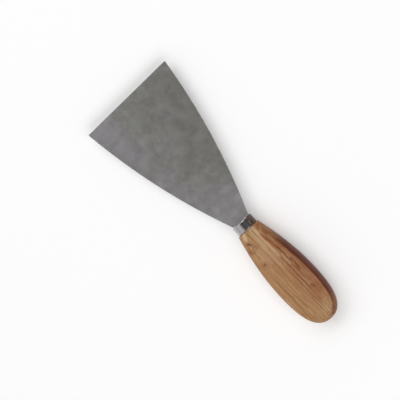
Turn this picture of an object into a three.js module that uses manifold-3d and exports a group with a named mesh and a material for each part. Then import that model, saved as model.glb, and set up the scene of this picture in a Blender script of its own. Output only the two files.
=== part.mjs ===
// Flexible putty knife with a 75 mm blade: a tapered spring steel blade whose tang
// passes through a pressed steel ferrule and is bedded in a slot in a wooden handle.
//
// Frame: millimetres. +X runs along the knife towards the scraping edge, +Y across the
// blade and +Z up out of its broad face. The origin is under the middle of the knife,
// on the surface that the handle's back flat rests on.

import * as THREE from 'three';
import * as BufferGeometryUtils from 'three/addons/utils/BufferGeometryUtils.js';
import Module from 'manifold-3d';

const wasm = await Module();
wasm.setup();

// ---------- driving dimensions ----------

const bladeLength = 116; // scraping edge to the front of the ferrule
const edgeWidth = 75;
const edgeThickness = 0.5;
const edgeCornerRadius = 0.5;
const sideBulge = 3.9; // how far each side bows out past its chord
const neckWidth = 14;
const neckThickness = 1.2;
const neckParallel = 6; // stretch ahead of the ferrule that keeps the full thickness

const tangWidth = 10;
const tangEndWidth = 8;
const tangLength = 58; // behind the front of the ferrule
const tangEndRadius = 2;

const ferruleLength = 7;
const ferruleRadius = 8.2;
const ferruleWall = 0.7;
const ferruleFrontRound = 0.6;
const ferruleRearRound = 0.25;

const handleLength = 84;
const handleWidth = 31.5;
const handleThickness = 17; // over its two planed flats
const shoulderRadius = 9.2;
const shoulderRound = 0.8;
const shoulderSlope = 0.19; // how fast the plan outline widens behind the shoulder
const widestFromShoulder = 50;
const swellHandle = 18; // lengths of the curve handles that shape the plan outline
const settleHandle = 20;
const turnHandle = 20.5;
const buttFullness = 12.3;
const noseLead = 6; // how far the blank runs on ahead of the shoulder before the nose cut
const noseFlare = 0.29; // how fast the turned nose widens behind the ferrule
const sideCrownInset = 5.75; // half axes of the ellipse that the handle's sides follow
const sideCrownHalfHeight = 10;
const sideBand = 1; // narrow upright band at mid height
const buttRounding = 1.65; // how many times farther the butt end is drawn in than the sides
const buttRoundFrom = 0.2; // how squarely an edge faces the butt end where that begins
const buttRoundFull = 0.95;
const tenonRoot = 2; // how deep the tenon starts inside the nose, so that the two join

const clearance = 0.3; // between neighbouring pieces
const resinWall = 0.4;
const resinClearance = 0.25;
const overrun = 1; // how far a cutting shape runs on past what it cuts

// ---------- fineness of the curved faces, in facets ----------

const bladeSideFacets = 24;
const handleCurveFacets = 18;
const handleCrownFacets = 12;
const ferruleFacets = 64;
const noseFacets = 96;
const smallRoundFacets = 8;

// ---------- stations along X and heights along Z, from the dimensions above ----------

const overallLength = bladeLength + ferruleLength + handleLength;
const edgeX = overallLength / 2;
const ferruleFrontX = edgeX - bladeLength;
const shoulderX = ferruleFrontX - ferruleLength;
const buttX = -overallLength / 2;
const tangEndX = ferruleFrontX - tangLength;
const midZ = handleThickness / 2;

// ---------- solids ----------

// A closed three.js geometry as a manifold solid.
function solid(geometry) {
  const bare = geometry.clone();
  bare.deleteAttribute('normal');
  bare.deleteAttribute('uv');
  const merged = BufferGeometryUtils.mergeVertices(bare, 1e-4);
  return new wasm.Manifold(new wasm.Mesh({
    numProp: 3,
    vertProperties: new Float32Array(merged.attributes.position.array),
    triVerts: new Uint32Array(merged.index.array),
  }));
}

// A manifold solid back as a three.js geometry.
function geometryOf(manifold) {
  const mesh = manifold.getMesh();
  const geometry = new THREE.BufferGeometry();
  geometry.setAttribute('position', new THREE.BufferAttribute(mesh.vertProperties, 3));
  geometry.setIndex(new THREE.BufferAttribute(mesh.triVerts, 1));
  geometry.computeVertexNormals();
  return geometry;
}

// A solid box from its lowest and highest corners.
function boxSolid(low, high) {
  const size = new THREE.Vector3().subVectors(high, low);
  const centre = new THREE.Vector3().addVectors(low, high).multiplyScalar(0.5);
  const box = new THREE.BoxGeometry(size.x, size.y, size.z);
  box.translate(centre.x, centre.y, centre.z);
  return solid(box);
}

// A box that is centred on the knife's long axis.
function axialBox(fromX, toX, width, height) {
  return boxSolid(
    new THREE.Vector3(fromX, -width / 2, midZ - height / 2),
    new THREE.Vector3(toX, width / 2, midZ + height / 2),
  );
}

// A plan outline in X and Y given a thickness that is centred on the long axis.
function plate(outline, thickness, curveSegments) {
  const geometry = new THREE.ExtrudeGeometry(outline, {
    depth: thickness,
    bevelEnabled: false,
    curveSegments,
  });
  geometry.translate(0, 0, midZ - thickness / 2);
  return solid(geometry);
}

// A solid between rings of points that are stacked upwards, with a flat face at each end.
function stacked(rings) {
  const count = rings[0].length;
  const triangles = [];
  for (let level = 0; level + 1 < rings.length; level += 1) {
    for (let i = 0; i < count; i += 1) {
      const here = level * count + i;
      const next = level * count + ((i + 1) % count);
      triangles.push(here, next, next + count, here, next + count, here + count);
    }
  }
  const top = (rings.length - 1) * count;
  for (const [a, b, c] of THREE.ShapeUtils.triangulateShape(rings[0], [])) {
    triangles.push(c, b, a);
  }
  for (const [a, b, c] of THREE.ShapeUtils.triangulateShape(rings.at(-1), [])) {
    triangles.push(top + a, top + b, top + c);
  }
  const geometry = new THREE.BufferGeometry().setFromPoints(rings.flat());
  geometry.setIndex(triangles);
  return solid(geometry);
}

// A solid turned about the long axis. The profile is a path of (radius, x).
function turned(profile, segments) {
  const geometry = new THREE.LatheGeometry(profile.getPoints(smallRoundFacets), segments);
  geometry.rotateZ(-Math.PI / 2);
  geometry.translate(0, 0, midZ);
  return solid(geometry);
}

function mesh(name, manifold, material) {
  const piece = new THREE.Mesh(geometryOf(manifold), material);
  piece.name = name;
  return piece;
}

// ---------- blade ----------

// Blade and tang in plan: square scraping edge, bowed sides, two shoulders that stop
// just ahead of the ferrule, and a tang that narrows towards its rounded end.
function bladeOutline() {
  const shoulderFront = ferruleFrontX + clearance;
  const halfEdge = edgeWidth / 2;
  const halfNeck = neckWidth / 2;
  const halfTang = tangWidth / 2;
  const halfTangEnd = tangEndWidth / 2;

  const chord = new THREE.Vector2(edgeX - shoulderFront, halfEdge - halfNeck);
  const outward = new THREE.Vector2(-chord.y, chord.x).normalize();
  const bowX = (edgeX + shoulderFront) / 2 + 2 * sideBulge * outward.x;
  const bowY = (halfEdge + halfNeck) / 2 + 2 * sideBulge * outward.y;

  const outline = new THREE.Shape();
  outline.moveTo(edgeX, -halfEdge + edgeCornerRadius);
  outline.lineTo(edgeX, halfEdge - edgeCornerRadius);
  outline.quadraticCurveTo(edgeX, halfEdge, edgeX - edgeCornerRadius, halfEdge);
  outline.quadraticCurveTo(bowX, bowY, shoulderFront, halfNeck);
  outline.lineTo(shoulderFront, halfTang);
  outline.lineTo(tangEndX + tangEndRadius, halfTangEnd);
  outline.quadraticCurveTo(tangEndX, halfTangEnd, tangEndX, halfTangEnd - tangEndRadius);
  outline.lineTo(tangEndX, -halfTangEnd + tangEndRadius);
  outline.quadraticCurveTo(tangEndX, -halfTangEnd, tangEndX + tangEndRadius, -halfTangEnd);
  outline.lineTo(shoulderFront, -halfTang);
  outline.lineTo(shoulderFront, -halfNeck);
  outline.quadraticCurveTo(bowX, -bowY, edgeX - edgeCornerRadius, -halfEdge);
  outline.quadraticCurveTo(edgeX, -halfEdge, edgeX, -halfEdge + edgeCornerRadius);
  return outline;
}

// Side view of the blade: full thickness to just past the neck, then ground to a
// straight taper on both faces.
function bladeTaper() {
  const groundFromX = ferruleFrontX + neckParallel;
  const slope = (neckThickness - edgeThickness) / 2 / (edgeX - groundFromX);
  const halfNeck = neckThickness / 2;
  const halfPastEdge = edgeThickness / 2 - slope * overrun;

  const side = new THREE.Shape();
  side.moveTo(tangEndX - overrun, -halfNeck);
  side.lineTo(groundFromX, -halfNeck);
  side.lineTo(edgeX + overrun, -halfPastEdge);
  side.lineTo(edgeX + overrun, halfPastEdge);
  side.lineTo(groundFromX, halfNeck);
  side.lineTo(tangEndX - overrun, halfNeck);

  const geometry = new THREE.ExtrudeGeometry(side, {
    depth: edgeWidth + 2 * overrun,
    bevelEnabled: false,
  });
  geometry.rotateX(Math.PI / 2);
  geometry.translate(0, edgeWidth / 2 + overrun, midZ);
  return solid(geometry);
}

function blade() {
  const springSteel = new THREE.MeshStandardMaterial({
    color: 0x7b7a76,
    roughness: 0.45,
    metalness: 0.9,
  });
  const sheet = plate(bladeOutline(), 2 * neckThickness, bladeSideFacets);
  return mesh('blade', sheet.intersect(bladeTaper()), springSteel);
}

// ---------- ferrule ----------

// A round cap over the front of the handle, with a slot in its face for the tang.
function ferrule() {
  const rearX = shoulderX + clearance;
  const bore = ferruleRadius - ferruleWall;
  const profile = new THREE.Path();
  profile.moveTo(0, ferruleFrontX - ferruleWall);
  profile.lineTo(bore, ferruleFrontX - ferruleWall);
  profile.lineTo(bore, rearX);
  profile.lineTo(ferruleRadius - ferruleRearRound, rearX);
  profile.quadraticCurveTo(ferruleRadius, rearX, ferruleRadius, rearX + ferruleRearRound);
  profile.lineTo(ferruleRadius, ferruleFrontX - ferruleFrontRound);
  profile.quadraticCurveTo(
    ferruleRadius, ferruleFrontX,
    ferruleRadius - ferruleFrontRound, ferruleFrontX,
  );
  profile.lineTo(0, ferruleFrontX);

  const slot = axialBox(
    ferruleFrontX - 2 * ferruleWall, ferruleFrontX + ferruleWall,
    tangWidth + 2 * clearance, neckThickness + 2 * clearance,
  );
  const platedSteel = new THREE.MeshStandardMaterial({
    color: 0xb4b3b1,
    roughness: 0.25,
    metalness: 1,
  });
  return mesh('ferrule', turned(profile, ferruleFacets).subtract(slot), platedSteel);
}

// ---------- handle ----------

// The handle in plan: it swells from the ferrule to its widest and ends in a round butt.
// The outline starts a little ahead of the shoulder, where the nose cut squares it off.
function handleOutline() {
  const half = handleWidth / 2;
  const widestX = shoulderX - widestFromShoulder;
  const swellX = shoulderX - swellHandle;
  const swellY = shoulderRadius + shoulderSlope * swellHandle;
  const settleX = widestX + settleHandle;
  const turnX = widestX - turnHandle;
  const leadX = shoulderX + noseLead;
  const leadY = shoulderRadius - shoulderSlope * noseLead;

  const outline = new THREE.Shape();
  outline.moveTo(leadX, -leadY);
  outline.lineTo(leadX, leadY);
  outline.lineTo(shoulderX, shoulderRadius);
  outline.bezierCurveTo(swellX, swellY, settleX, half, widestX, half);
  outline.bezierCurveTo(turnX, half, buttX, buttFullness, buttX, 0);
  outline.bezierCurveTo(buttX, -buttFullness, turnX, -half, widestX, -half);
  outline.bezierCurveTo(settleX, -half, swellX, -swellY, shoulderX, -shoulderRadius);
  return outline;
}

// The outward direction at each point of a closed outline that runs anticlockwise.
function outwardDirections(points) {
  return points.map((point, i) => {
    const before = points.at(i - 1);
    const after = points[(i + 1) % points.length];
    return new THREE.Vector2(after.y - before.y, before.x - after.x).normalize();
  });
}

// How many times farther than on the plain sides an edge is drawn in above mid height.
function rounding(outward) {
  const facingButt = THREE.MathUtils.smoothstep(-outward.x, buttRoundFrom, buttRoundFull);
  return 1 + (buttRounding - 1) * facingButt;
}

// The shaped blank: its sides follow a flattened ellipse all the way round the plan, from
// one planed flat to the other, and the butt end is rounded over more than the sides.
function handleBlank() {
  const points = handleOutline().getPoints(handleCurveFacets).slice(0, -1);
  const outwards = outwardDirections(points);
  const creaseSine = (handleThickness - sideBand) / 2 / sideCrownHalfHeight;
  const crease = Math.asin(creaseSine);

  const rings = [];
  for (const side of [-1, 1]) {
    for (let i = 0; i <= handleCrownFacets; i += 1) {
      const climb = side < 0 ? handleCrownFacets - i : i;
      const angle = (crease * climb) / handleCrownFacets;
      const height = side * (sideBand / 2 + sideCrownHalfHeight * Math.sin(angle));
      const inset = sideCrownInset * (1 - Math.cos(angle));
      rings.push(points.map((point, j) => {
        const drawnIn = point.clone().addScaledVector(outwards[j], -inset * rounding(outwards[j]));
        return new THREE.Vector3(drawnIn.x, drawnIn.y, midZ + height);
      }));
    }
  }
  return stacked(rings);
}

// Everything that the lathe leaves of the nose: round at the shoulder and flaring
// quickly, so that farther back only the blank's own sides and flats remain.
function noseEnvelope() {
  const farX = buttX - clearance;
  const farRadius = shoulderRadius + noseFlare * (shoulderX - farX);
  const profile = new THREE.Path();
  profile.moveTo(0, farX);
  profile.lineTo(farRadius, farX);
  profile.lineTo(shoulderRadius, shoulderX - shoulderRound);
  profile.quadraticCurveTo(shoulderRadius, shoulderX, shoulderRadius - shoulderRound, shoulderX);
  profile.lineTo(0, shoulderX);
  return turned(profile, noseFacets);
}

// The tenon that fills the ferrule.
function tenon() {
  const frontX = ferruleFrontX - ferruleWall - clearance;
  const radius = ferruleRadius - ferruleWall - clearance;
  const profile = new THREE.Path();
  profile.moveTo(0, shoulderX - tenonRoot);
  profile.lineTo(radius, shoulderX - tenonRoot);
  profile.lineTo(radius, frontX);
  profile.lineTo(0, frontX);
  return turned(profile, ferruleFacets);
}

// Room that the resin needs all round the tang, on each side of it.
const resinReach = resinClearance + resinWall;

function handle() {
  const slotReach = resinReach + resinClearance;
  const tangSlot = axialBox(
    tangEndX - slotReach, ferruleFrontX,
    tangWidth + 2 * slotReach, neckThickness + 2 * slotReach,
  );
  const body = handleBlank().intersect(noseEnvelope());
  const lacqueredWood = new THREE.MeshStandardMaterial({
    color: 0xa98152,
    roughness: 0.45,
    metalness: 0,
  });
  return mesh('handle', body.add(tenon()).subtract(tangSlot), lacqueredWood);
}

// ---------- resin ----------

// The hardened bed between the tang and the sides of its slot, open at the front.
function tangResin() {
  const frontX = ferruleFrontX - ferruleWall - 2 * clearance;
  const outside = axialBox(
    tangEndX - resinReach, frontX,
    tangWidth + 2 * resinReach, neckThickness + 2 * resinReach,
  );
  const inside = axialBox(
    tangEndX - resinClearance, frontX + overrun,
    tangWidth + 2 * resinClearance, neckThickness + 2 * resinClearance,
  );
  const amberResin = new THREE.MeshStandardMaterial({
    color: 0x8a6a3c,
    roughness: 0.6,
    metalness: 0,
  });
  return mesh('tang_resin', outside.subtract(inside), amberResin);
}

// ---------- assembly ----------

const puttyKnife = new THREE.Group();
puttyKnife.add(blade(), ferrule(), handle(), tangResin());

export default puttyKnife;
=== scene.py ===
"""A flexible putty knife: satin spring steel blade, plated ferrule and lacquered wooden handle.

The knife lies along X with its scraping edge at +X and its front face up. Lengths are in
metres; MM turns the sizes below, which are in millimetres, into metres.
"""
import math

import bmesh
import bpy
from mathutils import Matrix, Vector, noise


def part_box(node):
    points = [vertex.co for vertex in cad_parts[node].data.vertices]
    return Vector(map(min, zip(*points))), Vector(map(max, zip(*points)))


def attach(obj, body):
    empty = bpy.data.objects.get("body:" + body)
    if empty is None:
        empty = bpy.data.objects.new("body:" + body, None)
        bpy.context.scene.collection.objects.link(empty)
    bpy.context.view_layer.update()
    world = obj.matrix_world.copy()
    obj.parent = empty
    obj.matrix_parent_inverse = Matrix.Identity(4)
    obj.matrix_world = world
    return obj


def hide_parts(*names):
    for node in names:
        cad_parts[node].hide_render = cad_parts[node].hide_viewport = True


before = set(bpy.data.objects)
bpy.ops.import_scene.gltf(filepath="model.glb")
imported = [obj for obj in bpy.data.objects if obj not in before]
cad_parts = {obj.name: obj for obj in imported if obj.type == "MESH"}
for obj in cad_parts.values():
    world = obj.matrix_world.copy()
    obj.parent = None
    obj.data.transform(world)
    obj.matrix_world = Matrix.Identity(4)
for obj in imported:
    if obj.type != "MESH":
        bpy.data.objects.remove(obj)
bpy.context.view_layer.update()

MM = 0.001

# ---------- places taken from the CAD frame ----------

BLADE_LOW, BLADE_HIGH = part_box("blade")
FERRULE_LOW, FERRULE_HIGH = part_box("ferrule")
HANDLE_LOW, HANDLE_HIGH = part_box("handle")

EDGE_X = BLADE_HIGH.x
TANG_END_X = BLADE_LOW.x
MID_Z = (BLADE_LOW.z + BLADE_HIGH.z) / 2
HALF_EDGE = BLADE_HIGH.y
HALF_NECK_THICKNESS = BLADE_HIGH.z - MID_Z
FERRULE_FRONT_X = FERRULE_HIGH.x
FERRULE_REAR_X = FERRULE_LOW.x
FERRULE_RADIUS = FERRULE_HIGH.y
BUTT_X = HANDLE_LOW.x
TENON_FRONT_X = HANDLE_HIGH.x
HALF_HANDLE = HANDLE_HIGH.y
FLAT = HANDLE_HIGH.z - MID_Z

# ---------- shape, as in the CAD ----------

CLEARANCE = 0.3 * MM
SHOULDER_X = FERRULE_REAR_X - CLEARANCE
NECK_X = FERRULE_FRONT_X + CLEARANCE

HALF_EDGE_THICKNESS = 0.25 * MM
HALF_NECK = 7 * MM
HALF_TANG = 5 * MM
HALF_TANG_END = 4 * MM
TANG_END_RADIUS = 2 * MM
SIDE_BULGE = 3.9 * MM
EDGE_CORNER = 0.5 * MM
# The gap between the scraping edge and the row of vertices behind it leaves no room for more.
BROKEN_EDGE = 0.0139 * MM
BLADE_UNEVENNESS = 0.035 * MM
GROUND_X = FERRULE_FRONT_X + 6 * MM

FERRULE_WALL = 0.7 * MM
FERRULE_FRONT_ROUND = 0.6 * MM
FERRULE_REAR_ROUND = 0.25 * MM
FERRULE_INNER_ROUND = 0.3 * MM
FERRULE_INNER_REAR_ROUND = 0.15 * MM
FERRULE_DENT = 0.025 * MM

SHOULDER_RADIUS = 9.2 * MM
SHOULDER_ROUND = 0.8 * MM
SHOULDER_SLOPE = 0.19
WIDEST_X = SHOULDER_X - 50 * MM
SWELL_HANDLE = 18 * MM
SETTLE_HANDLE = 20 * MM
TURN_HANDLE = 20.5 * MM
BUTT_FULLNESS = 12.3 * MM
NOSE_FLARE = 0.29
SIDE_CROWN_INSET = 5.75 * MM
SIDE_CROWN_HALF_HEIGHT = 10 * MM
HALF_SIDE_BAND = 0.5 * MM
BUTT_ROUNDING = 1.65
BUTT_ROUND_FROM = 0.2
BUTT_ROUND_FULL = 0.95
SLOT_HALF_WIDTH = 5.9 * MM
SLOT_HALF_HEIGHT = 1.5 * MM
SLOT_END_X = TANG_END_X - 0.9 * MM


# ---------- mesh helpers ----------

def finish_mesh(name, build, sharp_angle):
    """A mesh object from a bmesh, smooth except along edges sharper than sharp_angle degrees."""
    bmesh.ops.recalc_face_normals(build, faces=build.faces)
    limit = math.radians(sharp_angle)
    for face in build.faces:
        face.smooth = True
    for edge in build.edges:
        edge.smooth = edge.calc_face_angle(0) < limit
    mesh = bpy.data.meshes.new(name)
    build.to_mesh(mesh)
    build.free()
    made = bpy.data.objects.new(name, mesh)
    bpy.context.scene.collection.objects.link(made)
    return made


def bridge(build, rings):
    """Quads between each ring of vertices and the next, all rings closed and of one length."""
    for first, second in zip(rings, rings[1:]):
        count = len(first)
        for i in range(count):
            j = (i + 1) % count
            build.faces.new((first[i], first[j], second[j], second[i]))


def cut_slot(target, from_x, to_x, half_width, half_height):
    """Cuts a straight slot on the long axis out of a piece."""
    build = bmesh.new()
    centre = Vector(((from_x + to_x) / 2, 0, MID_Z))
    size = Vector((abs(to_x - from_x), 2 * half_width, 2 * half_height))
    bmesh.ops.create_cube(build, size=1, matrix=Matrix.LocRotScale(centre, None, size))
    cutter = finish_mesh("slot_cutter", build, 30)
    cut = target.modifiers.new("slot", "BOOLEAN")
    cut.operation = "DIFFERENCE"
    cut.solver = "EXACT"
    cut.object = cutter
    apply_modifiers(target)
    bpy.data.objects.remove(cutter)


def apply_modifiers(target):
    """Turns the piece's modifiers into plain mesh."""
    depsgraph = bpy.context.evaluated_depsgraph_get()
    applied = bpy.data.meshes.new_from_object(target.evaluated_get(depsgraph))
    target.modifiers.clear()
    target.data = applied


def bezier(points, t):
    """A point on the cubic or quadratic curve through the first and last of points."""
    while len(points) > 1:
        points = [a.lerp(b, t) for a, b in zip(points, points[1:])]
    return points[0]


def ripple(place, wavelength, seed):
    """Smooth noise from about -1 to 1 that is the same on every run."""
    return noise.noise(place / wavelength + Vector((seed, 2 * seed, 3 * seed)))


# ---------- blade ----------

def blade_rows():
    """(x, half width) along the exposed blade, from its shoulders to the scraping edge."""
    start = Vector((NECK_X, HALF_NECK))
    end = Vector((EDGE_X - EDGE_CORNER, HALF_EDGE))
    outward = Vector((start.y - end.y, end.x - start.x)).normalized()
    bow = (start + end) / 2 + 2 * SIDE_BULGE * outward
    side_steps = 110
    rows = [bezier([start, bow, end], i / side_steps) for i in range(side_steps + 1)]
    corner = [end, Vector((EDGE_X, HALF_EDGE)), Vector((EDGE_X, HALF_EDGE - EDGE_CORNER))]
    corner_steps = 6
    rows += [bezier(corner, i / corner_steps) for i in range(1, corner_steps + 1)]
    return rows


def tang_rows():
    """(x, half width) along the hidden tang, from its rounded end to the shoulders."""
    side = Vector((TANG_END_X + TANG_END_RADIUS, HALF_TANG_END))
    corner = Vector((TANG_END_X, HALF_TANG_END))
    tip = Vector((TANG_END_X, HALF_TANG_END - TANG_END_RADIUS))
    steps = 5
    rows = [bezier([tip, corner, side], i / steps) for i in range(steps + 1)]
    rows.append(Vector((NECK_X, HALF_TANG)))
    return rows


def blade_half_thickness(x):
    """Full thickness to just past the neck, then a straight taper to the edge."""
    t = max(0.0, (x - GROUND_X) / (EDGE_X - GROUND_X))
    return HALF_NECK_THICKNESS + (HALF_EDGE_THICKNESS - HALF_NECK_THICKNESS) * t


def blade_wave(x, y):
    """The slight unevenness of thin sheet, which dies away at the stiff neck."""
    stiff_length = 30 * MM
    wavelength = 34 * MM
    free = max(0.0, min(1.0, (x - GROUND_X) / stiff_length))
    return BLADE_UNEVENNESS * free * ripple(Vector((x, y, 0)), wavelength, 3.1)


def make_blade():
    """Blade and tang as one sheet with real thickness and very slightly broken edges."""
    tang_columns = 10
    shoulder_columns = 3
    inner = [i / tang_columns for i in range(-tang_columns, tang_columns + 1)]
    tang_share = HALF_TANG / HALF_NECK
    outer_step = (1 - tang_share) / shoulder_columns
    outer = [tang_share + outer_step * i for i in range(1, shoulder_columns + 1)]
    columns = [-c for c in reversed(outer)] + [c * tang_share for c in inner] + outer

    build = bmesh.new()

    def pair(x, y):
        half = blade_half_thickness(x)
        z = MID_Z + blade_wave(x, y)
        return build.verts.new((x, y, z + half)), build.verts.new((x, y, z - half))

    exposed = [[pair(row.x, row.y * c) for c in columns] for row in blade_rows()]
    hidden = [[pair(row.x, row.y * c) for c in inner] for row in tang_rows()[:-1]]
    hidden.append(exposed[0][shoulder_columns:-shoulder_columns])

    for grid in (hidden, exposed):
        for near, far in zip(grid, grid[1:]):
            for i in range(len(near) - 1):
                for side in (0, 1):
                    build.faces.new((near[i][side], near[i + 1][side], far[i + 1][side], far[i][side]))

    below = {}
    for row in hidden + exposed:
        for top, bottom in row:
            below[top] = bottom
    rims = [e for e in build.edges if e.is_boundary and all(v in below for v in e.verts)]
    for rim in rims:
        a, b = rim.verts
        build.faces.new((a, b, below[b], below[a]))

    made = finish_mesh("blade_sheet", build, 40)
    break_edges(made)
    return made


def break_edges(target):
    """Takes the sharpness off every corner of the blade."""
    broken = target.modifiers.new("broken_edges", "BEVEL")
    broken.width = BROKEN_EDGE
    broken.segments = 2
    broken.limit_method = "ANGLE"
    broken.angle_limit = math.radians(50)
    apply_modifiers(target)


# ---------- ferrule ----------

def quarter_turn(corner, start, end, steps):
    """Points round a rounded corner, from start to end."""
    return [bezier([start, corner, end], i / steps) for i in range(steps + 1)]


def ferrule_profile():
    """(x, radius) round the wall of the cap, from the inside of its face to the outside."""
    inside = FERRULE_RADIUS - FERRULE_WALL
    face_x = FERRULE_FRONT_X - FERRULE_WALL
    points = quarter_turn(
        Vector((face_x, inside)),
        Vector((face_x, inside - FERRULE_INNER_ROUND)),
        Vector((face_x - FERRULE_INNER_ROUND, inside)), 4,
    )
    points += quarter_turn(
        Vector((FERRULE_REAR_X, inside)),
        Vector((FERRULE_REAR_X + FERRULE_INNER_REAR_ROUND, inside)),
        Vector((FERRULE_REAR_X, inside + FERRULE_INNER_REAR_ROUND)), 3,
    )
    points += quarter_turn(
        Vector((FERRULE_REAR_X, FERRULE_RADIUS)),
        Vector((FERRULE_REAR_X, FERRULE_RADIUS - FERRULE_REAR_ROUND)),
        Vector((FERRULE_REAR_X + FERRULE_REAR_ROUND, FERRULE_RADIUS)), 4,
    )
    wall_steps = 12
    wall_from = FERRULE_REAR_X + FERRULE_REAR_ROUND
    wall_to = FERRULE_FRONT_X - FERRULE_FRONT_ROUND
    for i in range(1, wall_steps):
        points.append(Vector((wall_from + (wall_to - wall_from) * i / wall_steps, FERRULE_RADIUS)))
    points += quarter_turn(
        Vector((FERRULE_FRONT_X, FERRULE_RADIUS)),
        Vector((wall_to, FERRULE_RADIUS)),
        Vector((FERRULE_FRONT_X, FERRULE_RADIUS - FERRULE_FRONT_ROUND)), 8,
    )
    return points


def ferrule_dent(x, outward):
    """How far the cap's wall is out of true. It is never pushed outwards."""
    dents_round = 3
    dent_length = 4 * MM
    where = outward * dents_round + Vector((x / dent_length, 0, 0))
    return FERRULE_DENT * (ripple(where, 1, 1.7) - 1)


def make_ferrule():
    """A drawn cap, very slightly out of true, with a slot in its face for the tang."""
    segments = 144
    build = bmesh.new()
    rings = []
    for point in ferrule_profile():
        ring = []
        for i in range(segments):
            angle = 2 * math.pi * i / segments
            outward = Vector((0, math.cos(angle), math.sin(angle)))
            radius = point.y + ferrule_dent(point.x, outward)
            ring.append(build.verts.new(outward * radius + Vector((point.x, 0, MID_Z))))
        rings.append(ring)
    bridge(build, rings)
    for ring in (rings[0], rings[-1]):
        build.faces.new(ring)
    made = finish_mesh("ferrule_cap", build, 40)
    cut_slot(
        made, FERRULE_FRONT_X - 2 * FERRULE_WALL, FERRULE_FRONT_X + FERRULE_WALL,
        HALF_TANG + CLEARANCE, HALF_NECK_THICKNESS + CLEARANCE,
    )
    return made


# ---------- handle ----------

def handle_outline():
    """(point, outward normal) in plan, from the shoulder round to the butt's tip."""
    swell = [
        Vector((SHOULDER_X, SHOULDER_RADIUS)),
        Vector((SHOULDER_X - SWELL_HANDLE, SHOULDER_RADIUS + SHOULDER_SLOPE * SWELL_HANDLE)),
        Vector((WIDEST_X + SETTLE_HANDLE, HALF_HANDLE)),
        Vector((WIDEST_X, HALF_HANDLE)),
    ]
    turn = [
        Vector((WIDEST_X, HALF_HANDLE)),
        Vector((WIDEST_X - TURN_HANDLE, HALF_HANDLE)),
        Vector((BUTT_X, BUTT_FULLNESS)),
        Vector((BUTT_X, 0)),
    ]
    round_steps = 6
    swell_steps = 70
    turn_steps = 70
    start_speed = 3 * SWELL_HANDLE
    steps = []
    for i in range(round_steps + 1):
        ahead = SHOULDER_ROUND * (1 - math.cos(math.pi / 2 * i / round_steps))
        steps.append((swell, ahead / start_speed))
    first = SHOULDER_ROUND / start_speed
    steps += [(swell, first + (1 - first) * i / swell_steps) for i in range(1, swell_steps + 1)]
    steps += [(turn, i / turn_steps) for i in range(1, turn_steps + 1)]

    outline = []
    for curve, t in steps:
        slopes = [b - a for a, b in zip(curve, curve[1:])]
        along = bezier(slopes, t).normalized()
        outline.append((bezier(curve, t), Vector((along.y, -along.x))))
    return outline


def side_profile():
    """(inset, height) up the handle's side, from mid height over the sanded crease."""
    crease = math.asin((FLAT - HALF_SIDE_BAND) / SIDE_CROWN_HALF_HEIGHT)
    soft_turn = 0.07
    soft_flat = 0.5 * MM

    def on_side(angle):
        return Vector((
            SIDE_CROWN_INSET * (1 - math.cos(angle)),
            HALF_SIDE_BAND + SIDE_CROWN_HALF_HEIGHT * math.sin(angle),
        ))

    side_steps = 12
    points = [Vector((0, 0))]
    last = crease - soft_turn
    points += [on_side(last * i / side_steps) for i in range(side_steps + 1)]
    corner = on_side(crease)
    points += quarter_turn(corner, on_side(last), corner + Vector((soft_flat, 0)), 5)[1:]
    return points


def nose_radius(x):
    """How far from the long axis the turned nose leaves wood, at a place along it."""
    ahead = x - (SHOULDER_X - SHOULDER_ROUND)
    if ahead > 0:
        ahead = min(ahead, SHOULDER_ROUND)
        return SHOULDER_RADIUS - SHOULDER_ROUND + math.sqrt(SHOULDER_ROUND ** 2 - ahead ** 2)
    return SHOULDER_RADIUS - NOSE_FLARE * ahead


def soft_min(a, b, softness):
    """The smaller of two lengths, with the change from one to the other rounded off."""
    overlap = max(0.0, softness - abs(a - b)) / softness
    return min(a, b) - overlap * overlap * softness / 4


def rounding(normal):
    """How many times farther than on the plain sides an edge is drawn in above mid height."""
    facing_butt = (-normal.x - BUTT_ROUND_FROM) / (BUTT_ROUND_FULL - BUTT_ROUND_FROM)
    facing_butt = max(0.0, min(1.0, facing_butt))
    return 1 + (BUTT_ROUNDING - 1) * facing_butt * facing_butt * (3 - 2 * facing_butt)


def handle_ring(point, normal, profile, rungs):
    """One closed ring of places round the handle: side, front flat, other side, back flat.

    Near the shoulder the ring stays square to X, so that the nose's end comes out flat.
    """
    square_nose = 6 * MM
    blend = min(1.0, (SHOULDER_X - point.x) / square_nose)
    drop = blend * normal.y + (1 - blend) / max(normal.y, 0.5)
    draw = rounding(normal)
    nose_softness = 0.8 * MM
    tiny = 0.01 * MM

    def place(inset, height):
        x = point.x - blend * inset * draw * normal.x
        y = max(0.0, point.y - inset * draw * drop)
        return x, y, height

    side = [place(p.x, -p.y) for p in reversed(profile[1:])] + [place(p.x, p.y) for p in profile]
    x, y, z = side[-1]
    front = [(x, y * (1 - 2 * i / rungs), z) for i in range(1, rungs)]
    other = [(px, -py, pz) for px, py, pz in reversed(side)]
    back = [(px, -py, -pz) for px, py, pz in front]

    ring = []
    for px, py, pz in side + front + other + back:
        reach = math.hypot(py, pz)
        kept = soft_min(reach, nose_radius(px), nose_softness) / max(reach, tiny)
        ring.append(Vector((px, py * kept, pz * kept + MID_Z)))
    return ring


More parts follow.
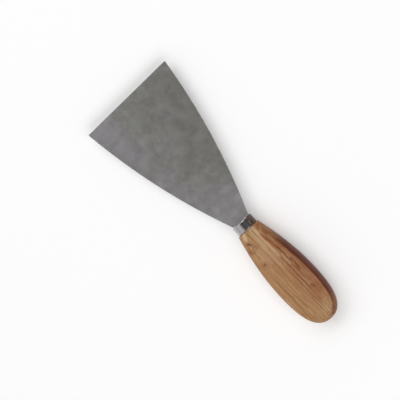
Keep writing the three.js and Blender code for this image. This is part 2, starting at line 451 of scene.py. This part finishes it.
def make_handle():
    """The shaped handle: bowed sides, planed flats with a sanded crease, turned nose, tenon."""
    rungs = 18
    same_place = 0.002 * MM
    profile = side_profile()
    places = [handle_ring(point, normal, profile, rungs) for point, normal in handle_outline()]
    for place in places[0]:
        place.x = SHOULDER_X

    tenon_radius = FERRULE_RADIUS - FERRULE_WALL - CLEARANCE
    axis = Vector((0, 0, MID_Z))
    for x in (SHOULDER_X, (SHOULDER_X + TENON_FRONT_X) / 2, TENON_FRONT_X):
        ring = []
        for place in places[0]:
            outward = (Vector((0, place.y, place.z)) - axis).normalized()
            ring.append(outward * tenon_radius + axis + Vector((x, 0, 0)))
        places.insert(0, ring)

    build = bmesh.new()
    rings = [[build.verts.new(place) for place in ring] for ring in places]
    bridge(build, rings)
    build.faces.new(rings[0])
    bmesh.ops.remove_doubles(build, verts=build.verts, dist=same_place)
    made = finish_mesh("handle_wood", build, 38)
    cut_slot(made, SLOT_END_X, FERRULE_FRONT_X, SLOT_HALF_WIDTH, SLOT_HALF_HEIGHT)
    return made


# ---------- materials ----------

class Graph:
    """A node tree built by small calls, most of which return the socket they make."""

    def __init__(self, tree):
        self.tree = tree
        tree.nodes.clear()

    def node(self, kind, inputs=None, **settings):
        made = self.tree.nodes.new("ShaderNode" + kind)
        for name, value in settings.items():
            setattr(made, name, value)
        for key, value in (inputs or {}).items():
            if isinstance(value, bpy.types.NodeSocket):
                self.tree.links.new(value, made.inputs[key])
            else:
                made.inputs[key].default_value = value
        return made

    def math(self, operation, a, b=0.0):
        return self.node("Math", {0: a, 1: b}, operation=operation).outputs[0]

    def vector(self, operation, a, b=(0, 0, 0)):
        made = self.node("VectorMath", {0: a, 1: b}, operation=operation)
        single = operation in ("LENGTH", "DOT_PRODUCT", "DISTANCE")
        return made.outputs["Value" if single else "Vector"]

    def noise(self, place, scale, detail=2.0, roughness=0.5):
        """Noise from 0 to 1. scale is how many cells there are to a millimetre each way."""
        inputs = {
            "Vector": self.vector("MULTIPLY", place, scale), "Scale": 1.0, "Detail": detail,
            "Roughness": roughness,
        }
        return self.node("TexNoise", inputs).outputs["Fac"]

    def span(self, value, low, high, to_low=0.0, to_high=1.0):
        """value's stretch from low to high, eased onto to_low to to_high."""
        inputs = {0: value, 1: low, 2: high, 3: to_low, 4: to_high}
        return self.node("MapRange", inputs, interpolation_type="SMOOTHSTEP").outputs[0]

    def mix(self, amount, a, b, blend="MIX"):
        """Colour a with colour b over it by amount."""
        a = a if isinstance(a, bpy.types.NodeSocket) else (*a, 1)
        b = b if isinstance(b, bpy.types.NodeSocket) else (*b, 1)
        inputs = {0: amount, 6: a, 7: b}
        return self.node("Mix", inputs, data_type="RGBA", blend_type=blend).outputs[2]

    def tint(self, amount, colour, factor):
        """Colour multiplied by the factor colour, by amount."""
        return self.mix(amount, colour, self.mix(1.0, colour, factor, "MULTIPLY"))

    def turned(self, vector, degrees):
        """A vector turned about Z."""
        inputs = {"Vector": vector, "Angle": math.radians(degrees)}
        return self.node("VectorRotate", inputs, rotation_type="Z_AXIS").outputs[0]

    def axes(self, vector):
        """A vector's x, y and z."""
        return self.node("SeparateXYZ", {0: vector}).outputs

    def add(self, *values):
        total = values[0]
        for value in values[1:]:
            total = self.math("ADD", total, value)
        return total

    def times(self, *values):
        total = values[0]
        for value in values[1:]:
            total = self.math("MULTIPLY", total, value)
        return total

    def place(self):
        """The point being shaded, in millimetres in the knife's own frame."""
        coordinates = self.node("TexCoord").outputs["Object"]
        return self.vector("MULTIPLY", coordinates, (1000, 1000, 1000))

    def bump(self, height, depth):
        """A normal from a height of 0 to 1 that is depth millimetres tall."""
        inputs = {"Height": height, "Distance": depth * MM, "Strength": 1.0}
        return self.node("Bump", inputs).outputs[0]


def new_material(name):
    """An empty node material and the graph to fill it with."""
    material = bpy.data.materials.new(name)
    material.use_nodes = True
    return material, Graph(material.node_tree)


def finish_material(graph, inputs):
    """Ends the material in one principled shader with these inputs."""
    shader = graph.node("BsdfPrincipled", inputs)
    graph.node("OutputMaterial", {"Surface": shader.outputs[0]})


def clouds(g, place, blots):
    """Soft-edged blots of 0 to 1. Each is (x, y, half length, half width, strength)."""
    total = 0.0
    for x, y, length, width, strength in blots:
        offset = g.vector("SUBTRACT", place, (x, y, 0))
        scaled = g.vector("MULTIPLY", offset, (1 / length, 1 / width, 0))
        blot = g.span(g.vector("LENGTH", scaled), 1.3, 0.3, 0.0, strength)
        total = g.math("MAXIMUM", blot, total)
    return total


def drifting(g, place, scale, reach):
    """The place moved about by up to reach millimetres, so that blots get uneven edges."""
    noise_colour = g.node("TexNoise", {
        "Vector": place, "Scale": scale, "Detail": 4.0, "Roughness": 0.6,
    }).outputs["Color"]
    centred = g.vector("SUBTRACT", noise_colour, (0.5, 0.5, 0.5))
    return g.vector("ADD", place, g.vector("MULTIPLY", centred, (4 * reach, 4 * reach, 0)))


# Cloudy stains on the steel, in mm: (x, y, half length, half width, strength).
VIOLET_STAINS = [
    (100, 32, 26, 18, 1.0), (74, 25, 22, 14, 1.0), (60, 8, 9, 9, 0.7), (42, 20, 18, 8, 0.9),
    (22, 12, 14, 9, 0.8), (4, 0, 20, 14, 1.0), (80, -15, 9, 5, 0.4), (100, -34, 6, 5, 0.5),
]
DARK_STAINS = [
    (41, -16, 7, 9, 0.85), (42, -4, 6, 8, 0.95), (37, 5, 6, 5, 0.6), (33, -17, 9, 5, 0.45),
    (84, -30, 22, 7, 0.75), (96, -22, 9, 6, 0.55), (60, -26, 18, 6, 0.5), (70, -18, 30, 9, 0.35),
    (92, 17, 6, 4, 0.3), (49, 19, 6, 3, 0.3),
]


def spring_steel():
    """Satin ground steel with cloudy stains and stray scratches, and painted shade that darkens it
    towards its edge.
    """
    olive_steel = (0.382, 0.382, 0.356)
    violet_steel = (0.43, 0.418, 0.432)
    neck_steel = (0.53, 0.515, 0.53)
    dark_steel = (0.25, 0.245, 0.228)
    pit = (0.13, 0.11, 0.1)
    bare_metal = (0.8, 0.8, 0.8)

    material, g = new_material("spring_steel_look")
    place = g.place()
    moved = drifting(g, place, 0.09, 6)
    x = g.axes(place)[0]
    mottle = g.noise(place, (0.16, 0.16, 0.16), detail=6, roughness=0.65)
    fine = g.noise(place, (0.75, 0.75, 0.75), detail=4, roughness=0.7)
    grind = g.noise(place, (9, 0.12, 1), detail=3)
    pits = g.span(g.noise(place, (0.55, 0.55, 0.55), detail=1), 0.775, 0.81)
    scratches = scratch_marks(g, place)

    colour = g.mix(clouds(g, moved, VIOLET_STAINS), olive_steel, violet_steel)
    colour = g.mix(g.span(x, 20, -2, 0.0, 0.45), colour, neck_steel)
    patchy = g.span(g.add(mottle, g.times(fine, 0.8)), 0.7, 1.1, 0.4, 1.0)
    dark = g.times(clouds(g, moved, DARK_STAINS), patchy)
    colour = g.mix(dark, colour, dark_steel)
    tone = g.add(
        g.span(mottle, 0.3, 0.7, 0.95, 1.05), g.span(fine, 0.3, 0.7, -0.035, 0.035),
        g.span(grind, 0.25, 0.75, -0.015, 0.015),
    )
    # Painted shade: the steel gets steadily darker towards the scraping edge, offsetting the brighter
    # softbox reflection there.
    tone = g.times(tone, g.span(x, 5, 95, 1.045, 0.885))
    tone = g.node("CombineColor", {0: tone, 1: tone, 2: tone}).outputs[0]
    colour = g.mix(1.0, colour, tone, "MULTIPLY")
    colour = g.mix(g.times(pits, 0.5), colour, pit)
    colour = g.mix(g.times(scratches, 0.3), colour, bare_metal)

    roughness = g.add(
        g.span(mottle, 0.25, 0.75, 0.27, 0.33), g.times(dark, 0.05), g.times(scratches, -0.1),
    )
    height = g.add(g.times(grind, 0.5), g.times(fine, 0.3), g.times(scratches, -0.6))
    finish_material(g, {
        "Base Color": colour, "Metallic": 1.0, "Roughness": roughness,
        "Normal": g.bump(height, 0.003),
    })
    return material


def scratch_marks(g, place):
    """Thin, broken, nearly straight scratches in a few directions, from 0 to 1."""
    total = 0.0
    for degrees, threshold in ((18, 0.75), (-34, 0.76), (72, 0.76), (-80, 0.77)):
        lines = g.noise(g.turned(place, degrees), (0.045, 3.2, 0.02), detail=2, roughness=0.4)
        marks = g.span(lines, threshold - 0.02, threshold + 0.03)
        total = g.math("MAXIMUM", total, marks)
    return total


def plated_steel():
    """Plating with fine draw lines, with a painted dark reflection on its crest, a painted dimmer
    reflection on its +Y side and a painted dark brown reflection on its -Y side.
    """
    bright_dark = (0.6, 0.59, 0.58)
    bright_pale = (0.68, 0.675, 0.67)
    painted_dark_crest = (0.2, 0.197, 0.2)
    painted_brown_reflection = (0.065, 0.026, 0.017)
    painted_dim_plating = (0.36, 0.355, 0.355)

    material, g = new_material("plated_steel_look")
    place = g.place()
    y = g.axes(place)[1]
    mottle = g.noise(place, (0.35, 0.35, 0.35), detail=4, roughness=0.6)
    draw_lines = g.noise(place, (9, 0.25, 0.25), detail=3)
    smear = g.noise(place, (0.5, 1.4, 1.4), detail=3)
    # Painted dark reflection: the -Y side is covered in dark red-brown and made a little rougher.
    painted_dark_side = g.span(g.add(y, g.times(mottle, 3.0)), -2.6, -4.8)
    # The crest gets a painted dark reflection, and the +Y side a painted dimmer one.
    crest = g.times(g.span(y, -1.6, -0.6), g.span(g.add(y, mottle), 3.2, 0.9))
    painted_dim_side = g.span(g.add(y, g.times(mottle, 2.0)), 0.8, 5.5)

    colour = g.mix(g.span(mottle, 0.3, 0.7), bright_dark, bright_pale)
    colour = g.mix(g.times(crest, 0.7), colour, painted_dark_crest)
    cover = g.times(painted_dark_side, g.span(mottle, 0.38, 0.62, 0.98, 0.92))
    colour = g.mix(cover, colour, painted_brown_reflection)
    colour = g.mix(g.times(painted_dim_side, 0.7), colour, painted_dim_plating)
    roughness = g.add(g.span(smear, 0.3, 0.7, 0.13, 0.2), g.times(painted_dark_side, 0.12))
    finish_material(g, {
        "Base Color": colour, "Metallic": 1.0, "Roughness": roughness,
        "Normal": g.bump(g.add(g.times(draw_lines, 0.7), g.times(smear, 0.3)), 0.004),
    })
    return material


# The wood's two knots, in mm: where the grain bends round them (x, y, reach along, reach
# across), and their dark hearts (x, y, half length, half width, slant in degrees, strength).
GRAIN_BENDS = [(-27.4, 5.1, 5.5, 2.4), (-45.8, 6.9, 3.6, 2.0)]
KNOT_HEARTS = [
    (-28.0, 5.0, 2.7, 0.8, -24, 0.85),
    (-27.0, 5.9, 1.0, 0.8, -24, 0.7),
    (-45.3, 7.0, 1.4, 1.6, 0, 0.6),
]

DARK_GRAIN = (0.14, 0.055, 0.024)
BROWN_GRAIN = (0.27, 0.108, 0.045)
WARM_GRAIN = (0.34, 0.17, 0.07)
PALE_GRAIN = (0.56, 0.41, 0.255)

# The handle's streaks, in mm: (start, end, half width, strength, colour). Most are grain; some on the
# grip are partly painted finger shadow.
STREAKS = [
    ((-16, -1.8), (-60, -1.2), 1.6, 0.5, PALE_GRAIN),
    ((-16, -4.3), (-51, -4.8), 1.9, 0.65, PALE_GRAIN),
    ((-17, 2.4), (-27, 6.2), 2.2, 0.8, PALE_GRAIN),
    ((-33, 2.6), (-50, 3.0), 2.2, 0.3, PALE_GRAIN),
    ((-46, -7.1), (-58, -7.0), 1.2, 0.5, PALE_GRAIN),
    ((-73, -13.2), (-88, -12.0), 0.7, 0.5, PALE_GRAIN),
    ((-88, -6.5), (-98, -2.5), 3.5, 0.2, PALE_GRAIN),
    ((-17, 0.2), (-36, 0.5), 1.1, 0.7, WARM_GRAIN),
    ((-19, -9.0), (-33, -9.5), 2.0, 0.5, WARM_GRAIN),
    ((-55, -6.8), (-72, -7.0), 1.6, 0.4, WARM_GRAIN),
    ((-75, -8.5), (-85, -9.8), 5.5, 0.8, WARM_GRAIN),
    # This streak and the next two are partly painted finger shadow.
    ((-54, -3.4), (-68, -3.8), 2.4, 0.6, WARM_GRAIN),
    ((-50, 0.4), (-78, 0.6), 2.6, 0.4, WARM_GRAIN),
    ((-44, 4.8), (-62, 5.2), 2.4, 0.4, WARM_GRAIN),
    ((-38, 8.2), (-60, 9.8), 2.2, 0.35, WARM_GRAIN),
    ((-79, -4.2), (-92, -4.4), 2.0, 0.45, WARM_GRAIN),
    # Partly painted finger shadow beside the knot.
    ((-28.5, 7.8), (-35, 8.2), 2.6, 0.6, BROWN_GRAIN),
    ((-30, 4.4), (-36, 6.2), 1.3, 0.5, BROWN_GRAIN),
    ((-25.5, -5.4), (-46, -8.6), 2.2, 1.0, BROWN_GRAIN),
    # Partly painted finger shadow.
    ((-36, -10.2), (-46, -12.0), 1.6, 0.6, BROWN_GRAIN),
    ((-52, -9.8), (-65, -9.4), 1.6, 0.6, BROWN_GRAIN),
    ((-31, -5.8), (-36, -7.0), 0.9, 0.5, DARK_GRAIN),
    ((-40, -8.3), (-58, -8.8), 0.8, 0.75, DARK_GRAIN),
    ((-57, -9.4), (-63, -9.5), 0.8, 0.6, DARK_GRAIN),
    ((-58, -8.3), (-76, -9.0), 0.6, 0.5, DARK_GRAIN),
    ((-47, -4.4), (-60, -5.1), 0.8, 0.6, DARK_GRAIN),
    ((-58, -5.1), (-80, -5.7), 0.9, 0.65, DARK_GRAIN),
    ((-75.5, -7.0), (-80, -9.4), 1.3, 0.5, DARK_GRAIN),
]


def lacquered_wood():
    """Straight-grained light hardwood under clear lacquer, with two small knots."""
    material, g = new_material("lacquered_wood_look")
    raw = g.place()
    place = grain_place(g, raw)
    rings = growth_rings(g, place)
    bands = g.noise(place, (0.014, 0.22, 0.22), detail=4, roughness=0.6)
    fibres = g.noise(place, (0.04, 0.95, 0.95), detail=6, roughness=0.7)
    pores = g.noise(place, (0.3, 5.5, 5.5), detail=2)
    pores = g.times(g.span(pores, 0.58, 0.7), g.span(bands, 0.3, 0.6, 0.3, 1.0))

    colour = general_grain(g, place, rings, bands, fibres, pores)
    colour = close_grained(g, raw, place, colour)
    colour = streaked(g, raw, colour)
    colour = knotted(g, raw, colour)
    colour = side_stain_and_hand_shade(g, raw, colour)

    roughness = g.add(g.span(fibres, 0.3, 0.7, 0.36, 0.44), g.times(pores, 0.12))
    height = g.add(g.times(fibres, -0.3), g.times(pores, -0.9), g.times(rings, 0.15))
    finish_material(g, {
        "Base Color": colour, "Roughness": roughness, "Normal": g.bump(height, 0.02),
        "Specular IOR Level": 0.12,
    })
    return material


def grain_place(g, place):
    """The place moved aside, so that lines along X turn into gently waving grain."""
    slow = g.math("SUBTRACT", g.noise(place, (0.03, 0.06, 0.06), detail=2), 0.5)
    quick = g.math("SUBTRACT", g.noise(place, (0.13, 0.35, 0.35), detail=3), 0.5)
    wobble = g.add(g.times(slow, 5.0), g.times(quick, 1.2))
    aside = g.node("CombineXYZ", {0: 0.0, 1: wobble, 2: wobble}).outputs[0]
    return bend_round_knots(g, g.vector("ADD", place, aside))


def bend_round_knots(g, place):
    """Moves the grain's own coordinate aside so that it flows round each knot."""
    x, y, z = g.axes(place)
    for knot_x, knot_y, reach_x, reach_y in GRAIN_BENDS:
        dx = g.math("DIVIDE", g.math("SUBTRACT", x, knot_x), reach_x)
        dy = g.math("DIVIDE", g.math("SUBTRACT", y, knot_y), reach_y)
        spread = g.add(g.times(dx, dx), g.times(dy, dy))
        near = g.math("EXPONENT", g.times(spread, -1.0))
        aside = g.times(g.math("SUBTRACT", y, knot_y), near, -0.8)
        y = g.add(y, aside)
    return g.node("CombineXYZ", {0: x, 1: y, 2: z}).outputs[0]


def growth_rings(g, place):
    """The dark late wood of growth rings round a pith outside the handle, from 0 to 1."""
    pith = (0, 44, -26)
    ring_spacing = 1.7
    from_pith = g.vector("MULTIPLY", g.vector("SUBTRACT", place, pith), (0.04, 1, 1))
    rings = g.math("DIVIDE", g.vector("LENGTH", from_pith), ring_spacing)
    uneven = g.times(g.noise(place, (0.03, 0.3, 0.3), detail=3), 2.0)
    rings = g.math("FRACT", g.add(rings, uneven))
    return g.times(g.span(rings, 0.05, 0.8), g.span(rings, 1.0, 0.8))


def general_grain(g, place, rings, bands, fibres, pores):
    """The wood's colour before its own streaks, knots and wear."""
    tan = (0.4, 0.228, 0.103)
    pale_tan = (0.49, 0.305, 0.158)
    late_wood = (0.21, 0.09, 0.035)
    dark_fibre = (0.25, 0.12, 0.05)
    pale_fibre = (0.64, 0.45, 0.27)
    open_pore = (0.12, 0.055, 0.025)

    colour = g.mix(g.span(bands, 0.3, 0.7), tan, pale_tan)
    patches = g.noise(place, (0.03, 0.12, 0.12), detail=2)
    ring_strength = g.span(patches, 0.35, 0.65, 0.2, 0.65)
    colour = g.mix(g.times(rings, ring_strength), colour, late_wood)
    colour = g.mix(g.span(fibres, 0.45, 0.7, 0.0, 0.75), colour, dark_fibre)
    colour = g.mix(g.span(fibres, 0.48, 0.3, 0.0, 0.5), colour, pale_fibre)
    return g.mix(g.times(pores, 0.6), colour, open_pore)


def close_grained(g, raw, place, colour):
    """Finer, closer lines towards the butt."""
    fine_line = (0.25, 0.11, 0.045)
    lines = g.noise(place, (0.04, 1.5, 1.5), detail=2)
    lines = g.times(g.span(lines, 0.5, 0.62), g.span(g.axes(raw)[0], -74, -86))
    return g.mix(g.times(lines, 0.45), colour, fine_line)


def streaked(g, place, colour):
    """The handle's dark and pale streaks over the general grain, some of them partly painted finger
    shadow.
    """
    bend = g.math("SUBTRACT", g.noise(place, (0.1, 0.1, 0.1), detail=3), 0.5)
    bent = g.vector("ADD", place, g.node("CombineXYZ", {1: g.times(bend, 1.6)}).outputs[0])
    feather = g.math("SUBTRACT", g.noise(place, (0.1, 1.7, 1.7), detail=4, roughness=0.65), 0.5)
    for start, end, width, strength, streak_colour in STREAKS:
        mark = streak(g, bent, feather, start, end, width)
        colour = g.mix(g.times(mark, strength), colour, streak_colour)
    return colour


def streak(g, place, feather, start, end, width):
    """A lengthwise streak with feathered sides and faint ends, from 0 to 1."""
    along = Vector(end) - Vector(start)
    flat = g.vector("MULTIPLY", g.vector("SUBTRACT", place, (*start, 0)), (1, 1, 0))
    share = g.math("DIVIDE", g.vector("DOT_PRODUCT", flat, (*along, 0)), along.length_squared)
    share = g.node("Clamp", {0: share}).outputs[0]
    nearest = {0: g.times(share, along.x), 1: g.times(share, along.y)}
    nearest = g.node("CombineXYZ", nearest).outputs[0]
    off = g.add(g.vector("DISTANCE", flat, nearest), g.times(feather, 2.6 * width))
    lasting = g.times(g.span(share, 0.0, 0.15), g.span(share, 1.0, 0.8))
    return g.times(g.span(off, width, width * 0.1), lasting)


def knotted(g, place, colour):
    """Dark hearts and warm halos at the knots. The one by the ferrule is cut on the slant."""
    halo_brown = (0.24, 0.11, 0.045)
    heart_brown = (0.14, 0.045, 0.018)
    uneven = g.times(g.math("SUBTRACT", g.noise(place, (0.5, 0.5, 0.5), detail=3), 0.5), 1.2)
    for x, y, length, width, slant, strength in KNOT_HEARTS:
        turned = g.turned(g.vector("SUBTRACT", place, (x, y, 0)), slant)
        distance = g.vector("LENGTH", g.vector("MULTIPLY", turned, (1 / length, 1 / width, 0)))
        distance = g.add(distance, uneven)
        colour = g.mix(g.span(distance, 3.2, 0.8, 0.0, 0.5 * strength), colour, halo_brown)
        colour = g.mix(g.span(distance, 1.1, 0.3, 0.0, strength), colour, heart_brown)
    return colour


def side_stain_and_hand_shade(g, place, colour):
    """Red-brown on the rounded sides, most of all at -Y, and a darkening along the grip: partly a real
    darker staining of the sides, partly painted shade and reddish bounce from a holding hand.
    """
    _, normal_y, normal_z = g.axes(g.node("NewGeometry").outputs["Normal"])
    on_side = g.span(g.math("ABSOLUTE", normal_z), 0.96, 0.6)
    palm_side = g.span(normal_y, 0.0, -0.45)
    x, y, _ = g.axes(place)
    grip = g.times(g.span(x, -97, -84), g.span(x, -24, -48))

    # The side tint is partly real staining and partly painted shade from a holding hand, deepest
    # mid-grip on the -Y side.
    ends = g.mix(g.span(x, -50, -90), (0.88, 0.74, 0.64), (0.6, 0.42, 0.33))
    side_stain_and_shade = g.mix(grip, ends, (0.46, 0.2, 0.12))
    side_stain_and_shade = g.mix(palm_side, (0.9, 0.84, 0.8), side_stain_and_shade)
    colour = g.tint(on_side, colour, side_stain_and_shade)
    # Painted shade of a holding hand over the grip, darker towards -Y.
    painted_grip_shade = g.mix(g.span(y, 4, -3), (0.98, 0.93, 0.93), (0.9, 0.8, 0.8))
    painted_grip_shade = g.mix(g.span(y, -5, -13), painted_grip_shade, (0.73, 0.58, 0.54))
    return g.tint(grip, colour, painted_grip_shade)


def hard_resin():
    """Dull amber glue with a few pale bubbles."""
    material, g = new_material("hard_resin_look")
    place = g.place()
    amber = (0.22, 0.13, 0.04)
    pale_amber = (0.34, 0.22, 0.09)
    bubble = (0.5, 0.4, 0.25)
    cloud = g.noise(place, (0.5, 0.5, 0.5), detail=3)
    bubbles = g.span(g.noise(place, (3, 3, 3), detail=1), 0.68, 0.74)
    colour = g.mix(cloud, amber, pale_amber)
    colour = g.mix(g.times(bubbles, 0.5), colour, bubble)
    finish_material(g, {
        "Base Color": colour, "Roughness": g.span(cloud, 0.3, 0.7, 0.5, 0.65),
        "Normal": g.bump(bubbles, 0.02),
    })
    return material


def pale_floor():
    """Matt white studio board, lit a little from behind so that its shadows stay pale."""
    material, g = new_material("studio_board")
    tooth = g.noise(g.place(), (0.8, 0.8, 0.8), detail=2)
    finish_material(g, {
        "Base Color": (0.8, 0.8, 0.8, 1), "Roughness": g.span(tooth, 0.3, 0.7, 0.85, 0.95),
        "Emission Color": (1.0, 1.0, 1.0, 1), "Emission Strength": 0.2,
    })
    return material


def give(piece, material):
    """Makes this the piece's only material."""
    piece.data.materials.clear()
    piece.data.materials.append(material)


# ---------- studio ----------

def add_camera():
    """Looks down on the knife's front face, rolled so that its -Y side shows a little."""
    roll = math.radians(13)
    blade_angle = math.radians(133.1)
    distance = 896 * MM
    aim_right_of_ferrule = -28.4 * MM
    aim_above_ferrule = 14.7 * MM

    back = Vector((0, -math.sin(roll), math.cos(roll)))
    along = Vector((1, 0, 0))
    across = back.cross(along)
    right = along * math.cos(blade_angle) - across * math.sin(blade_angle)
    up = back.cross(right)
    ferrule_front = Vector((FERRULE_FRONT_X, 0, MID_Z))
    aim = ferrule_front + right * aim_right_of_ferrule + up * aim_above_ferrule

    lens = bpy.data.cameras.new("camera")
    lens.lens = 117
    lens.sensor_width = 36
    camera = bpy.data.objects.new("camera", lens)
    facing = Matrix((right, up, back)).transposed().to_4x4()
    camera.matrix_world = Matrix.Translation(aim + back * distance) @ facing
    bpy.context.scene.collection.objects.link(camera)
    bpy.context.scene.camera = camera


def add_softbox(name, direction, width, height, power):
    """A wide area light that faces the knife from the given direction."""
    distance = 1.8
    lamp = bpy.data.lights.new(name, "AREA")
    lamp.shape = "RECTANGLE"
    lamp.size = width
    lamp.size_y = height
    lamp.energy = power
    light = bpy.data.objects.new(name, lamp)
    towards = Vector(direction).normalized()
    light.location = towards * distance
    light.rotation_mode = "QUATERNION"
    light.rotation_quaternion = towards.to_track_quat("Z", "Y")
    bpy.context.scene.collection.objects.link(light)


def add_world():
    """A grey room, dark overhead on the -Y side and pale on the +Y side, with a pale backdrop."""
    dark_overhead = (0.085, 0.075, 0.073)
    pale_overhead = (0.73, 0.73, 0.74)
    side_wall_glow = (0.42, 0.41, 0.4)
    end_wall_glow = (0.55, 0.545, 0.54)
    backdrop = (0.9, 0.9, 0.9)

    world = bpy.data.worlds.new("studio")
    world.use_nodes = True
    bpy.context.scene.world = world
    g = Graph(world.node_tree)
    direction = g.node("TexCoord").outputs["Generated"]
    split = math.radians(16)
    half_blend = math.sin(math.radians(13))
    across_split = (0, math.cos(split), -math.sin(split))
    past_split = g.vector("DOT_PRODUCT", direction, across_split)
    glow = g.mix(g.span(past_split, -half_blend, half_blend), dark_overhead, pale_overhead)
    x, y, z = g.axes(direction)
    side_wall = g.times(g.span(z, 0.5, 0.3), g.span(y, -0.2, -0.6))
    end_walls = g.times(g.span(z, 0.7, 0.4), g.span(g.math("ABSOLUTE", x), 0.3, 0.75))
    glow = g.mix(side_wall, glow, side_wall_glow)
    glow = g.mix(end_walls, glow, end_wall_glow)
    seen = g.node("LightPath").outputs["Is Camera Ray"]
    background = g.node("Background", {"Color": g.mix(seen, glow, backdrop), "Strength": 1.0})
    g.node("OutputWorld", {"Surface": background.outputs[0]})


def add_floor():
    """A round board just under the handle's back flat."""
    radius = 3
    gap = 0.05 * MM
    build = bmesh.new()
    just_under = Matrix.Translation((0, 0, -gap))
    bmesh.ops.create_circle(build, cap_ends=True, segments=64, radius=radius, matrix=just_under)
    floor = finish_mesh("floor", build, 30)
    give(floor, pale_floor())


def set_tone():
    """Plain display tones, so that the white board stays white."""
    view = bpy.context.scene.view_settings
    view.view_transform = "Standard"
    view.look = "None"


# ---------- the knife ----------

def add_piece(piece, node, material):
    """Stands a finer piece in for its CAD node."""
    give(piece, material)
    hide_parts(node)
    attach(piece, "root")


add_camera()
add_world()
add_floor()
set_tone()
add_softbox("tip_softbox", (0.6, 0.0, 0.8), 2.3, 1.0, 17)
add_softbox("butt_softbox", (-0.6, -0.08, 0.8), 2.0, 1.0, 14.5)

add_piece(make_blade(), "blade", spring_steel())
add_piece(make_ferrule(), "ferrule", plated_steel())
add_piece(make_handle(), "handle", lacquered_wood())
give(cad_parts["tang_resin"], hard_resin())
